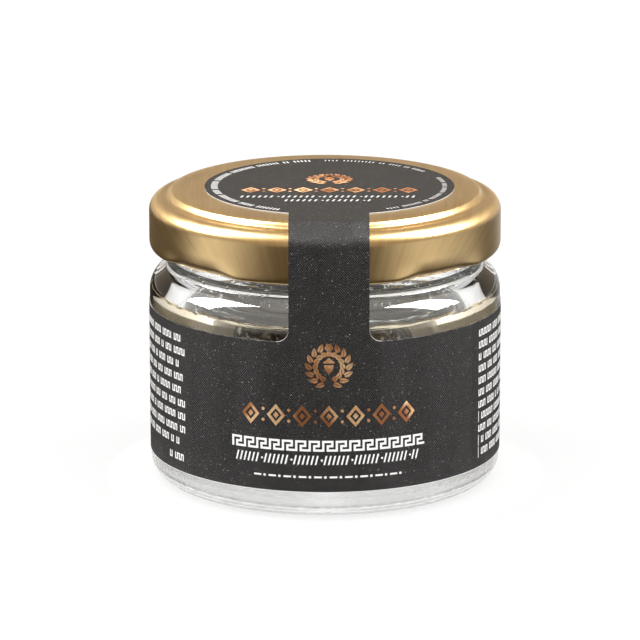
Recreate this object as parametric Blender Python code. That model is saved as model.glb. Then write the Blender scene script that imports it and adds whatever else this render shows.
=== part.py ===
"""A small sealed glass jar of preserved black truffle.

The jar stands on its base ring with its axis on +Z and its front towards -Y. A twist-off lid with four lugs
closes it, one paper label wraps it and runs up over the lid, and a whole truffle stands inside in its juice.
"""

import math
import random

import bmesh
import bpy
from mathutils import Vector

MM = 0.001
GAP = 0.3 * MM
SEGMENTS = 72
FRONT = math.radians(-90)

# Glass body, from the base up
BODY_RADIUS = 25.25 * MM
HEEL_WIDTH = 2.35 * MM
HEEL_HEIGHT = 2.5 * MM
PUNT_RADIUS = 17.5 * MM
PUNT_RISE = 1.2 * MM
BASE_RING_RADIUS = 19.5 * MM
SHOULDER_BOTTOM = 27.25 * MM
SHOULDER_HEIGHT = 4.65 * MM
NECK_RADIUS = 22.9 * MM
NECK_TOP = 39.4 * MM
RIM_ROUND = 0.8 * MM
MOUTH_RADIUS = 20.3 * MM

# Inside of the glass
INNER_RADIUS = 22.6 * MM
FLOOR = 5.0 * MM
FLOOR_ROUND = 3.0 * MM
INNER_SHOULDER_BOTTOM = 27.8 * MM
INNER_SHOULDER_HEIGHT = 4.6 * MM

# Four slanted ridges on the glass, each held by one lug of the lid
LUG_ANGLES = [math.radians(-48 + 90 * turn) + FRONT for turn in range(4)]
LUG_HALF_WIDTH = math.radians(14)
RIDGE_START = math.radians(-10)
RIDGE_SPAN = math.radians(55)
RIDGE_LOW = 36.9 * MM
RIDGE_CLIMB = 1.6 * MM
RIDGE_HALF_HEIGHT = 0.75 * MM
RIDGE_DEPTH = 1.1 * MM
RIDGE_ROWS = 7

# Sheet-metal lid, with heights counted from its lower edge
LID_BOTTOM = 34.7 * MM
LID_RADIUS = 25.6 * MM
LID_SHEET = 0.5 * MM
LID_SHOULDER_ROUND = 1.5 * MM
LID_RING_HEIGHT = 7.15 * MM
LID_HEIGHT = 8.2 * MM
PLATEAU_FLAT_RADIUS = 20.7 * MM
PLATEAU_EDGE_WIDTH = 2.6 * MM
HEM_WIDTH = 1.3 * MM
HEM_HEIGHT = 1.2 * MM
HEM_ROUND = 0.6 * MM
LUG_REACH = 0.95 * MM
LUG_DENT = 0.5 * MM
LUG_DENT_HEIGHT = 2.9 * MM

# Sealing ring moulded into the channel of the lid, with heights counted from the lid's lower edge
GASKET_INNER_RADIUS = 19.8 * MM
GASKET_STEP_RADIUS = 22.5 * MM
GASKET_OUTER_RADIUS = 24.1 * MM
GASKET_STEP_HEIGHT = 0.75 * MM

# Paper label: a band round the jar, a strip up over the lid's edge and a disc on the lid
PAPER = 0.25 * MM
BAND_RADIUS = BODY_RADIUS + 0.25 * MM
BAND_BOTTOM = 4.3 * MM
BAND_TOP = 26.2 * MM
BAND_SEAM_GAP = 1.4 * MM
STRIP_LEFT = -5.15 * MM
STRIP_RIGHT = 6.25 * MM
STRIP_FILLET = 1.8 * MM
DISC_RADIUS = 18.17 * MM
DISC_CENTRE_X = 0.65 * MM
STRIP_COLUMNS = 8

# Truffle and juice
TRUFFLE_HALF_SIZES = (18.3 * MM, 14.4 * MM, 11.9 * MM)
TRUFFLE_WARTS = 170
TRUFFLE_SEED = 7
TRUFFLE_PLACE = (-1.8 * MM, -1.0 * MM)
GROOVE_DEPTH = 0.75 * MM
WART_HEIGHT = 0.45 * MM
REST_SPOT_DEPTH = 0.5 * MM
JUICE_LEVEL = 27.0 * MM


def arc(centre, size, start, end, steps):
    """Points of an elliptical arc in the (radius, height) plane, with angles in degrees."""
    points = []
    for step in range(steps + 1):
        angle = math.radians(start + (end - start) * step / steps)
        points.append((centre[0] + size[0] * math.cos(angle), centre[1] + size[1] * math.sin(angle)))
    return points


def around(radius, height, angle):
    return (radius * math.cos(angle), radius * math.sin(angle), height)


def angle_between(first, second):
    """The signed turn from one angle to another, from -pi to pi."""
    return (second - first + math.pi) % (2 * math.pi) - math.pi


def new_material(name, colour, roughness, metallic=0.0, transmission=0.0, ior=1.45):
    material = bpy.data.materials.new(name)
    material.use_nodes = True
    shader = material.node_tree.nodes["Principled BSDF"]
    shader.inputs["Base Color"].default_value = (*colour, 1.0)
    shader.inputs["Roughness"].default_value = roughness
    shader.inputs["Metallic"].default_value = metallic
    shader.inputs["Transmission Weight"].default_value = transmission
    shader.inputs["IOR"].default_value = ior
    return material


def new_object(name, shape, material, parent, smooth_below=35):
    """Turns a bmesh into a named object, smooth except across edges sharper than the given degrees."""
    mesh = bpy.data.meshes.new(name)
    shape.to_mesh(mesh)
    shape.free()
    mesh.shade_smooth()
    mesh.set_sharp_from_angle(angle=math.radians(smooth_below))
    mesh.materials.append(material)
    obj = bpy.data.objects.new(name, mesh)
    obj.parent = parent
    bpy.context.collection.objects.link(obj)
    return obj


def turned(profile, segments=SEGMENTS, relief=None):
    """A closed solid turned about Z. A profile that starts and ends on the axis is capped there."""
    shape = bmesh.new()
    rings = []
    for radius, height in profile:
        if radius == 0:
            rings.append([shape.verts.new((0, 0, height))] * segments)
            continue
        ring = []
        for step in range(segments):
            angle = 2 * math.pi * step / segments
            bent = relief(angle, radius, height) if relief else radius
            ring.append(shape.verts.new(around(bent, height, angle)))
        rings.append(ring)
    if profile[0][0] > 0:
        rings.append(rings[0])
    for lower, upper in zip(rings, rings[1:]):
        for step in range(segments):
            after = (step + 1) % segments
            corners = dict.fromkeys((lower[step], lower[after], upper[after], upper[step]))
            if len(corners) > 2:
                shape.faces.new(list(corners))
    bmesh.ops.recalc_face_normals(shape, faces=shape.faces)
    return shape


def ridge_relief(angle, radius, height):
    """Pushes the outside of the neck out where a slanted ridge runs round it."""
    if radius < (MOUTH_RADIUS + NECK_RADIUS) / 2 or height < LID_BOTTOM:
        return radius
    for lug in LUG_ANGLES:
        along = angle_between(lug + RIDGE_START, angle) / RIDGE_SPAN
        if not -0.1 < along < 1.1:
            continue
        ends = min(1.0, (along + 0.1) / 0.15, (1.1 - along) / 0.15)
        off = (height - RIDGE_LOW - RIDGE_CLIMB * along) / RIDGE_HALF_HEIGHT
        if abs(off) < 1:
            return radius + RIDGE_DEPTH * ends * math.cos(off * math.pi / 2)
    return radius


def glass_profile():
    heel_centre = BODY_RADIUS - HEEL_WIDTH
    shoulder_width = BODY_RADIUS - NECK_RADIUS
    outside = [(0, PUNT_RISE), (PUNT_RADIUS, PUNT_RISE), (BASE_RING_RADIUS, 0)]
    outside += arc((heel_centre, HEEL_HEIGHT), (HEEL_WIDTH, HEEL_HEIGHT), -90, 0, 4)
    outside += arc((NECK_RADIUS, SHOULDER_BOTTOM), (shoulder_width, SHOULDER_HEIGHT), 0, 72, 4)
    outside.append((NECK_RADIUS, SHOULDER_BOTTOM + SHOULDER_HEIGHT))
    ridge_bottom = RIDGE_LOW - 1.2 * RIDGE_HALF_HEIGHT
    for row in range(RIDGE_ROWS):
        outside.append((NECK_RADIUS, ridge_bottom + (NECK_TOP - ridge_bottom) * row / RIDGE_ROWS))
    outside += arc((NECK_RADIUS - RIM_ROUND, NECK_TOP), (RIM_ROUND, RIM_ROUND), 0, 90, 2)
    inside = arc((MOUTH_RADIUS + RIM_ROUND, NECK_TOP), (RIM_ROUND, RIM_ROUND), 90, 180, 2)
    bulge = (INNER_RADIUS - MOUTH_RADIUS, INNER_SHOULDER_HEIGHT)
    inside += arc((MOUTH_RADIUS, INNER_SHOULDER_BOTTOM), bulge, 90, 0, 4)
    floor_corner = (INNER_RADIUS - FLOOR_ROUND, FLOOR + FLOOR_ROUND)
    inside += arc(floor_corner, (FLOOR_ROUND, FLOOR_ROUND), 0, -90, 4)
    inside.append((0, FLOOR))
    return outside + inside


def lug_relief(angle, radius, height):
    """Dents the lid's skirt inwards at each lug and carries the hem in under the glass ridge."""
    pull = 0.0
    for lug in LUG_ANGLES:
        off = abs(angle_between(lug, angle)) / LUG_HALF_WIDTH
        pull = max(pull, math.cos(min(off, 1.0) * math.pi / 2) ** 2)
    low = max(0.0, 1 - height / LUG_DENT_HEIGHT)
    dent = LUG_DENT * pull * low**2
    if radius < LID_RADIUS - LID_SHEET - GAP and height <= HEM_HEIGHT:
        dent = LUG_REACH * pull
    return radius - dent


def lid_profile():
    ring_edge = LID_RADIUS - LID_SHOULDER_ROUND
    plateau_edge = (PLATEAU_EDGE_WIDTH, LID_HEIGHT - LID_RING_HEIGHT)
    inner_wall = LID_RADIUS - LID_SHEET
    inner_round = LID_SHOULDER_ROUND - LID_SHEET
    shoulder = (ring_edge, LID_RING_HEIGHT - LID_SHOULDER_ROUND)
    outside = [(0, LID_HEIGHT)]
    outside += arc((PLATEAU_FLAT_RADIUS, LID_RING_HEIGHT), plateau_edge, 90, 0, 5)
    outside += arc(shoulder, (LID_SHOULDER_ROUND, LID_SHOULDER_ROUND), 90, 0, 4)
    outside.append((LID_RADIUS, LUG_DENT_HEIGHT))
    outside.append((LID_RADIUS, 0.6 * LUG_DENT_HEIGHT))
    outside += arc((LID_RADIUS - HEM_ROUND, HEM_ROUND), (HEM_ROUND, HEM_ROUND), 0, -90, 2)
    hem_inner = LID_RADIUS - HEM_WIDTH
    inside = arc((hem_inner + HEM_ROUND, HEM_ROUND), (HEM_ROUND, HEM_ROUND), -90, -180, 2)
    inside += [(hem_inner, HEM_HEIGHT), (inner_wall, 1.4 * HEM_HEIGHT), (inner_wall, LUG_DENT_HEIGHT)]
    inside += arc(shoulder, (inner_round, inner_round), 0, 90, 3)
    under_edge = (PLATEAU_EDGE_WIDTH - LID_SHEET, LID_HEIGHT - LID_RING_HEIGHT)
    inside += arc((PLATEAU_FLAT_RADIUS, LID_RING_HEIGHT - LID_SHEET), under_edge, 0, 90, 4)
    inside.append((0, LID_HEIGHT - LID_SHEET))
    return outside + inside


def gasket_profile():
    rim_top = NECK_TOP + RIM_ROUND - LID_BOTTOM
    low = rim_top + GAP
    step_top = LID_RING_HEIGHT - LID_SHEET - GAP
    top = step_top + GASKET_STEP_HEIGHT
    return [
        (GASKET_INNER_RADIUS + GAP, low),
        (GASKET_OUTER_RADIUS - GAP, low),
        (GASKET_OUTER_RADIUS, low + GAP),
        (GASKET_OUTER_RADIUS - GAP, step_top),
        (GASKET_STEP_RADIUS, step_top),
        (GASKET_STEP_RADIUS - GASKET_STEP_HEIGHT, top),
        (GASKET_INNER_RADIUS + GAP, top + GAP),
        (GASKET_INNER_RADIUS, top),
        (GASKET_INNER_RADIUS, low + GAP),
    ]


def pulled_tight(points):
    """The convex outline of (radius, height) points, from the lid's middle down: paper held taut over them."""
    chain = []
    for point in points:
        while len(chain) > 1:
            (r0, z0), (r1, z1) = chain[-2:]
            if (r1 - r0) * (point[1] - z0) - (z1 - z0) * (point[0] - r0) < 0:
                break
            chain.pop()
        chain.append(point)
    return chain


def strip_section():
    """(radius, height) of the strip's under side, from just outside the disc down to the band's fillets."""
    top = LID_BOTTOM + LID_HEIGHT + GAP
    ring = LID_BOTTOM + LID_RING_HEIGHT
    plateau_edge = (PLATEAU_EDGE_WIDTH + GAP, top - ring)
    shoulder = (LID_RADIUS - LID_SHOULDER_ROUND, ring - LID_SHOULDER_ROUND)
    turn = LID_SHOULDER_ROUND + GAP
    covered = [(PLATEAU_FLAT_RADIUS - 1 * MM, top)]
    covered += arc((PLATEAU_FLAT_RADIUS, ring), plateau_edge, 90, 0, 12)
    covered += arc(shoulder, (turn, turn), 90, 0, 12)
    covered += [(LID_RADIUS + GAP, LID_BOTTOM + HEM_ROUND), (BAND_RADIUS, BAND_TOP)]
    return pulled_tight(covered)


def fillet_reach(height):
    """How far the strip widens on each side where it flows into the band."""
    up = BAND_TOP + STRIP_FILLET - height
    if up <= 0:
        return 0.0
    return STRIP_FILLET - math.sqrt(max(0.0, STRIP_FILLET**2 - up**2))


def strip_row(radius, height):
    """Points across the strip on one turned ring, between its two straight edges."""
    flare = fillet_reach(height)
    left = STRIP_LEFT - flare
    right = STRIP_RIGHT + flare
    row = []
    for column in range(STRIP_COLUMNS + 1):
        x = left + (right - left) * column / STRIP_COLUMNS
        row.append((x, -math.sqrt(radius**2 - x**2), height))
    return row


def join_rows(shape, upper, lower):
    """Faces between two rows of vertices that run left to right, seen from outside."""
    for column in range(len(upper) - 1):
        shape.faces.new((upper[column], lower[column], lower[column + 1], upper[column + 1]))


def label_sheet():
    """The label's under side as one open sheet: disc, strip and band share their vertices."""
    shape = bmesh.new()
    top = LID_BOTTOM + LID_HEIGHT + GAP
    front_edge = []
    for x, _, _ in strip_row(DISC_RADIUS, top):
        front_edge.append(shape.verts.new((x, -math.sqrt(DISC_RADIUS**2 - (x - DISC_CENTRE_X) ** 2), top)))
    first = math.atan2(front_edge[-1].co.y, front_edge[-1].co.x - DISC_CENTRE_X)
    last = math.atan2(front_edge[0].co.y, front_edge[0].co.x - DISC_CENTRE_X) + 2 * math.pi
    back_steps = 56
    back_edge = []
    for step in range(1, back_steps):
        angle = first + (last - first) * step / back_steps
        x, y, _ = around(DISC_RADIUS, top, angle)
        back_edge.append(shape.verts.new((x + DISC_CENTRE_X, y, top)))
    rim = front_edge + back_edge
    middle = shape.verts.new((DISC_CENTRE_X, 0, top))
    for vert, after in zip(rim, rim[1:] + rim[:1]):
        shape.faces.new((middle, vert, after))

    section = strip_section()
    (high_radius, high), (low_radius, low) = section[-2:]
    fillet_rows = 5
    rows = section[:-1]
    for step in range(fillet_rows + 1):
        height = BAND_TOP + STRIP_FILLET * (1 - math.sin(math.pi / 2 * step / fillet_rows))
        share = (height - low) / (high - low)
        rows.append((low_radius + (high_radius - low_radius) * share, height))
    upper = front_edge
    for radius, height in rows:
        lower = [shape.verts.new(point) for point in strip_row(radius, height)]
        join_rows(shape, upper, lower)
        upper = lower

    seam = BAND_SEAM_GAP / 2 / BAND_RADIUS
    side_steps = 32
    right_start = math.atan2(upper[-1].co.y, upper[-1].co.x)
    left_start = math.atan2(upper[0].co.y, upper[0].co.x)
    right_turn = (math.pi / 2 - seam) - right_start
    left_turn = (-math.pi * 1.5 + seam) - angle_between(0, left_start)
    right_side = []
    left_side = []
    for step in range(1, side_steps + 1):
        share = step / side_steps
        right_side.append(shape.verts.new(around(BAND_RADIUS, BAND_TOP, right_start + right_turn * share)))
        left_side.append(shape.verts.new(around(BAND_RADIUS, BAND_TOP, left_start + left_turn * share)))
    upper = left_side[::-1] + upper + right_side
    lower = [shape.verts.new((vert.co.x, vert.co.y, BAND_BOTTOM)) for vert in upper]
    join_rows(shape, upper, lower)
    return shape


def truffle_skin(direction, raised):
    """A point over the truffle's skin, from its middle: an egg shape with a few broad swellings."""
    x, y, z = direction
    swell = 0.045 * math.sin(2.3 * x + 1.1 * y + 0.4) + 0.035 * math.sin(2.9 * y - 1.7 * z + 1.3)
    swell += 0.03 * math.sin(3.7 * z + 2.1 * x - 0.6)
    long, deep, high = TRUFFLE_HALF_SIZES
    outwards = Vector((x / long, y / deep, z / high)).normalized()
    return Vector((x * long, y * deep, z * high)) * (1 + swell) + outwards * raised


def truffle_middle():
    """The truffle's middle stands so that a small flat spot of it meets the jar's floor."""
    x, y = TRUFFLE_PLACE
    lowest = truffle_skin(Vector((0, 0, -1)), 0).z
    return Vector((x, y, FLOOR + GAP - lowest - REST_SPOT_DEPTH))


def truffle_shape():
    """Flat-topped polygonal warts, one for each cell of a jittered spiral of points."""
    draw = random.Random(TRUFFLE_SEED)
    cells = bmesh.new()
    golden_turn = math.pi * (3 - math.sqrt(5))
    jitter = 0.32 * math.sqrt(4 * math.pi / TRUFFLE_WARTS)
    for index in range(TRUFFLE_WARTS):
        height = 1 - (2 * index + 1) / TRUFFLE_WARTS
        ring = math.sqrt(1 - height**2)
        seed = Vector(around(ring, height, golden_turn * index))
        seed += Vector([draw.uniform(-jitter, jitter) for _ in range(3)])
        cells.verts.new(seed.normalized())
    bmesh.ops.convex_hull(cells, input=cells.verts)

    shape = bmesh.new()
    rest_height = FLOOR + GAP - truffle_middle().z

    def skin_vert(direction, raised):
        point = truffle_skin(direction.normalized(), raised)
        point.z = max(point.z, rest_height)
        return shape.verts.new(point)

    grooves = {}
    for face in cells.faces:
        grooves[face] = skin_vert(face.calc_center_median(), -GROOVE_DEPTH)
    for seed in cells.verts:
        side = seed.co.orthogonal().normalized()
        other = seed.co.cross(side)
        faces = sorted(
            seed.link_faces,
            key=lambda face: math.atan2(
                (face.calc_center_median() - seed.co).dot(other), (face.calc_center_median() - seed.co).dot(side)
            ),
        )
        outer = [grooves[face] for face in faces]
        lift = draw.uniform(0.3, 1.0) * WART_HEIGHT
        inner = []
        for face in faces:
            inner.append(skin_vert(face.calc_center_median().normalized().lerp(seed.co, 0.42), 0.4 * lift))
        peak = skin_vert(seed.co, lift)
        for index in range(len(faces)):
            after = (index + 1) % len(faces)
            shape.faces.new((outer[index], outer[after], inner[after], inner[index]))
            shape.faces.new((inner[index], inner[after], peak))
    cells.free()
    bmesh.ops.recalc_face_normals(shape, faces=shape.faces)
    return shape


def juice_profile():
    low = FLOOR + GAP
    wall = INNER_RADIUS - GAP
    corner = (wall - FLOOR_ROUND, low + FLOOR_ROUND)
    profile = [(0, low)]
    profile += arc(corner, (FLOOR_ROUND, FLOOR_ROUND), -90, 0, 4)
    profile += [(wall, JUICE_LEVEL), (0, JUICE_LEVEL)]
    return profile


def hollow_for_truffle(juice, parent):
    """Cuts the juice clear of the truffle, with a smooth cutter a little larger than the warts."""
    shape = bmesh.new()
    bmesh.ops.create_icosphere(shape, subdivisions=3, radius=1.0)
    for vert in shape.verts:
        vert.co = truffle_skin(vert.co.normalized(), WART_HEIGHT + GAP)
    cutter = new_object("truffle_cutter", shape, juice.data.materials[0], parent)
    cutter.location = truffle_middle()
    cutter.hide_render = True
    cutter.display_type = "WIRE"
    cut = juice.modifiers.new("room_for_truffle", "BOOLEAN")
    cut.operation = "DIFFERENCE"
    cut.object = cutter


def build():
    for obj in list(bpy.data.objects):
        bpy.data.objects.remove(obj, do_unlink=True)

    axis = bpy.data.objects.new("jar_axis", None)
    bpy.context.collection.objects.link(axis)

    glass = new_material("clear_glass", (0.93, 0.95, 0.94), 0.03, transmission=1.0, ior=1.5)
    gold = new_material("brushed_gold_lacquer", (0.62, 0.43, 0.17), 0.3, metallic=1.0)
    seal = new_material("pale_sealing_compound", (0.72, 0.7, 0.66), 0.6)
    paper = new_material("charcoal_paper", (0.028, 0.028, 0.031), 0.62)
    skin = new_material("truffle_skin", (0.03, 0.022, 0.018), 0.7)
    liquid = new_material("truffle_juice", (0.42, 0.29, 0.12), 0.05, transmission=0.9, ior=1.34)

    new_object("glass_jar", turned(glass_profile(), relief=ridge_relief), glass, axis)

    lid = new_object("lid", turned(lid_profile(), relief=lug_relief), gold, axis)
    lid.location.z = LID_BOTTOM

    gasket = new_object("lid_gasket", turned(gasket_profile(), segments=60), seal, axis)
    gasket.location.z = LID_BOTTOM

    label = new_object("label", label_sheet(), paper, axis)
    thickness = label.modifiers.new("paper_thickness", "SOLIDIFY")
    thickness.thickness = PAPER
    thickness.offset = 1.0
    thickness.use_even_offset = True

    truffle = new_object("truffle", truffle_shape(), skin, axis, smooth_below=25)
    truffle.location = truffle_middle()

    juice = new_object("juice", turned(juice_profile(), segments=60), liquid, axis)
    hollow_for_truffle(juice, axis)


build()
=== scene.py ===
import math
import random

import bmesh
import bpy
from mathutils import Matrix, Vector, noise


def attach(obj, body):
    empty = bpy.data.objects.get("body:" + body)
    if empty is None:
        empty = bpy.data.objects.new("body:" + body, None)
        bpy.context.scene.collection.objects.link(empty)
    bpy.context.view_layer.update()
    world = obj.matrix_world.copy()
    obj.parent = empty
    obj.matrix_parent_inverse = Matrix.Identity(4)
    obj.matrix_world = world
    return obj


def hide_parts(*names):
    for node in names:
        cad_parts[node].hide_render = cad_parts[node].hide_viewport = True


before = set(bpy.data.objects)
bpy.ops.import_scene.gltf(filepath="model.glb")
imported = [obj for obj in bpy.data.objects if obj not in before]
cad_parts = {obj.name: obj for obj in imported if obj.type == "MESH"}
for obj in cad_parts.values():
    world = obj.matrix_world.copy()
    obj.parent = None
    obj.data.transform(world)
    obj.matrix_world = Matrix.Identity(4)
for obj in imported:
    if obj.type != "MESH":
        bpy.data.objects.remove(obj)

scene = bpy.context.scene
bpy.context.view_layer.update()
mm = 0.001


# Shader sums: a Wire is one socket, and plain arithmetic on it adds the nodes
def feed(tree, place, value):
    if isinstance(value, Wire):
        tree.links.new(value.socket, place)
    else:
        place.default_value = value


def bothWays(operation):
    def first(wire, other):
        return wire.math(operation, other)

    def second(wire, other):
        return wire.math(operation, other, swapped=True)

    return first, second


class Wire:
    def __init__(self, tree, socket):
        self.tree = tree
        self.socket = socket

    def math(self, operation, other=0.0, swapped=False):
        node = self.tree.nodes.new("ShaderNodeMath")
        node.operation = operation
        ends = (other, self) if swapped else (self, other)
        for place, value in zip(node.inputs, ends):
            feed(self.tree, place, value)
        return Wire(self.tree, node.outputs[0])

    __add__, __radd__ = bothWays("ADD")
    __sub__, __rsub__ = bothWays("SUBTRACT")
    __mul__, __rmul__ = bothWays("MULTIPLY")
    __truediv__, __rtruediv__ = bothWays("DIVIDE")

    def root(self):
        return self.math("SQRT")

    def fold(self, width):  # back and forth between 0 and width
        return self.math("PINGPONG", width)

    def above(self, edge, soft):  # 0 below the edge, 1 above it, with a soft step
        node = self.tree.nodes.new("ShaderNodeMapRange")
        node.interpolation_type = "SMOOTHSTEP"
        feed(self.tree, node.inputs["Value"], self)
        feed(self.tree, node.inputs["From Min"], edge - soft)
        feed(self.tree, node.inputs["From Max"], edge + soft)
        return Wire(self.tree, node.outputs["Result"])


class Finish:
    def __init__(self, name, constants):
        self.material = bpy.data.materials.new(name)
        self.material.use_nodes = True
        self.tree = self.material.node_tree
        self.shader = self.tree.nodes["Principled BSDF"]
        self.set(constants)

    def set(self, sockets):
        for name, value in sockets.items():
            feed(self.tree, self.shader.inputs[name], value)

    def make(self, kind, sockets=None, out=0):
        node = self.tree.nodes.new(kind)
        for name, value in (sockets or {}).items():
            feed(self.tree, node.inputs[name], value)
        return Wire(self.tree, node.outputs[out])

    def place(self, kind="Object"):  # the three coordinates, as numbers in metres
        parts = self.tree.nodes.new("ShaderNodeSeparateXYZ")
        feed(self.tree, parts.inputs[0], self.make("ShaderNodeTexCoord", out=kind))
        return [Wire(self.tree, out) for out in parts.outputs]

    def joined(self, x, y, z=0.0):
        return self.make("ShaderNodeCombineXYZ", sockets={"X": x, "Y": y, "Z": z})

    def noise(self, vector, scale, detail=4.0, roughness=0.55):
        values = {"Vector": vector, "Scale": scale, "Detail": detail, "Roughness": roughness}
        return self.make("ShaderNodeTexNoise", sockets=values, out="Fac")

    def grain(self, *settings):  # noise through the solid, in the object's own coordinates
        return self.noise(self.make("ShaderNodeTexCoord", out="Object"), *settings)

    def blend(self, share, first, second):
        node = self.tree.nodes.new("ShaderNodeMix")
        node.data_type = "RGBA"
        feed(self.tree, node.inputs["Factor"], share)
        for name, value in (("A", first), ("B", second)):
            place = next(s for s in node.inputs if s.name == name and s.type == "RGBA")
            feed(self.tree, place, value if isinstance(value, Wire) else (*value, 1.0))
        return Wire(self.tree, next(s for s in node.outputs if s.type == "RGBA"))

    def bump(self, height, distance, strength=1.0):
        sockets = {"Height": height, "Distance": distance, "Strength": strength}
        self.set({"Normal": self.make("ShaderNodeBump", sockets=sockets)})


# Geometry Nodes: one tree with named inputs, run on an object and turned into a plain mesh
class Growth:
    def __init__(self, name, inputs):
        self.tree = bpy.data.node_groups.new(name, "GeometryNodeTree")
        self.tree.interface.new_socket("Geometry", in_out="INPUT", socket_type="NodeSocketGeometry")
        for title, kind in inputs.items():
            self.tree.interface.new_socket(title, in_out="INPUT", socket_type="NodeSocket" + kind)
        self.tree.interface.new_socket("Geometry", in_out="OUTPUT", socket_type="NodeSocketGeometry")
        self.source = self.tree.nodes.new("NodeGroupInput")
        self.result = self.tree.nodes.new("NodeGroupOutput")

    def given(self, title):
        return self.source.outputs[title]

    def add(self, kind, settings=None, sockets=None):
        node = self.tree.nodes.new(kind)
        for name, value in (settings or {}).items():
            setattr(node, name, value)
        for name, value in (sockets or {}).items():
            self.link(value, node.inputs[name])
        return node

    def link(self, value, place):
        if isinstance(value, bpy.types.NodeSocket):
            self.tree.links.new(value, place)
        else:
            place.default_value = value

    def sum(self, operation, first, second):
        node = self.add("ShaderNodeMath", {"operation": operation})
        for place, value in zip(node.inputs, (first, second)):
            self.link(value, place)
        return node.outputs[0]

    def vector(self, operation, first, second, place=1):
        node = self.add("ShaderNodeVectorMath", {"operation": operation})
        self.link(first, node.inputs[0])
        self.link(second, node.inputs[place])
        return node.outputs[0]

    def finish(self, geometry, material):
        whole = self.add("GeometryNodeRealizeInstances", sockets={"Geometry": geometry})
        sockets = {"Geometry": whole.outputs[0], "Material": material}
        painted = self.add("GeometryNodeSetMaterial", sockets=sockets)
        self.tree.links.new(painted.outputs[0], self.result.inputs[0])

    def grow(self, name, base, values):
        modifier = base.modifiers.new(self.tree.name, "NODES")
        modifier.node_group = self.tree
        for item in self.tree.interface.items_tree:
            if item.in_out == "INPUT" and item.name in values:
                modifier[item.identifier] = values[item.name]
        bpy.context.view_layer.update()
        graph = bpy.context.evaluated_depsgraph_get()
        mesh = bpy.data.meshes.new_from_object(base.evaluated_get(graph), depsgraph=graph)
        bpy.data.objects.remove(base)
        return newObject(name, mesh)


def newObject(name, mesh):
    obj = bpy.data.objects.new(name, mesh)
    mesh.name = name
    scene.collection.objects.link(obj)
    return obj


def newPiece(name, shape, *materials, sharpDegrees=40):
    mesh = bpy.data.meshes.new(name)
    shape.to_mesh(mesh)
    shape.free()
    mesh.shade_smooth()
    mesh.set_sharp_from_angle(angle=math.radians(sharpDegrees))
    for material in materials:
        mesh.materials.append(material)
    return newObject(name, mesh)


def settle(obj, slotName, *nodes):
    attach(obj, "root")
    if nodes:
        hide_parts(*nodes)


def arc(centre, size, start, end, steps):  # points of an elliptical arc, angles in degrees
    points = []
    for step in range(steps + 1):
        angle = math.radians(start + (end - start) * step / steps)
        points.append((centre[0] + size[0] * math.cos(angle), centre[1] + size[1] * math.sin(angle)))
    return points


def around(radius, height, angle):
    return Vector((radius * math.cos(angle), radius * math.sin(angle), height))


def neighbours(ring):  # each of a closed ring's members with the next one
    return zip(ring, ring[1:] + ring[:1])


def turnBetween(first, second):
    return (second - first + math.pi) % (2 * math.pi) - math.pi


def turned(profile, segments, relief=None):  # closed solid of revolution, in millimetres
    shape = bmesh.new()
    rings = []
    for radius, height in profile:
        if radius == 0:
            rings.append([shape.verts.new((0, 0, height * mm))] * segments)
            continue
        ring = []
        for step in range(segments):
            angle = 2 * math.pi * step / segments
            bent, level = relief(angle, radius, height) if relief else (radius, height)
            ring.append(shape.verts.new(around(bent, level, angle) * mm))
        rings.append(ring)
    if profile[0][0] > 0:
        rings.append(rings[0])
    for lower, upper in zip(rings, rings[1:]):
        for (low, lowAfter), (up, upAfter) in zip(neighbours(lower), neighbours(upper)):
            corners = dict.fromkeys((low, lowAfter, upAfter, up))
            if len(corners) > 2:
                shape.faces.new(list(corners))
    bmesh.ops.recalc_face_normals(shape, faces=shape.faces)
    return shape


def runs(points, longest):  # the same outline with no stretch longer than the given millimetres
    filled = [points[0]]
    for start, end in zip(points, points[1:]):
        steps = max(1, math.ceil(math.dist(start, end) / longest))
        for step in range(1, steps + 1):
            share = step / steps
            filled.append((start[0] + (end[0] - start[0]) * share, start[1] + (end[1] - start[1]) * share))
    return filled


# Camera, from the photo: a long lens a little above the jar
view = {
    "aimHeight": 20.8, "distance": 640, "elevation": 14.85, "lens": 245.5, "shiftX": -0.00786,
    "shiftY": 0.021,
}


def makeCamera():
    camera = bpy.data.objects.new("camera", bpy.data.cameras.new("camera"))
    scene.collection.objects.link(camera)
    tilt = math.radians(view["elevation"])
    away = Vector((0, -math.cos(tilt), math.sin(tilt))) * view["distance"]
    camera.location = (Vector((0, 0, view["aimHeight"])) + away) * mm
    camera.rotation_euler = (math.pi / 2 - tilt, 0, 0)
    camera.data.lens = view["lens"]
    camera.data.sensor_width = 36
    camera.data.shift_x = view["shiftX"]
    camera.data.shift_y = view["shiftY"]
    scene.camera = camera
    print("camera set")


# Glass jar, in millimetres
glass = {
    "wallRadius": 25.6, "heelWidth": 3.2, "heelHeight": 3.4, "puntRadius": 17.5, "puntRise": 0.5,
    "ringRadius": 19.5, "shoulderBottom": 27.9, "shoulderRound": 4.0, "neckRadius": 22.9, "neckTop": 39.4,
    "rimRound": 0.8, "mouthRadius": 20.3, "innerRadius": 22.7, "floor": 5.0, "floorRound": 3.4,
    "innerShoulder": 27.8, "innerShoulderHeight": 4.6, "segments": 256,
    "ridgeLow": 36.9, "ridgeClimb": 1.6, "ridgeHalfHeight": 0.75, "ridgeDepth": 1.0,
    "colour": (0.985, 0.995, 0.99), "ior": 1.5,
}
lugAngles = [math.radians(-138 + 90 * turn) for turn in range(4)]


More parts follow.
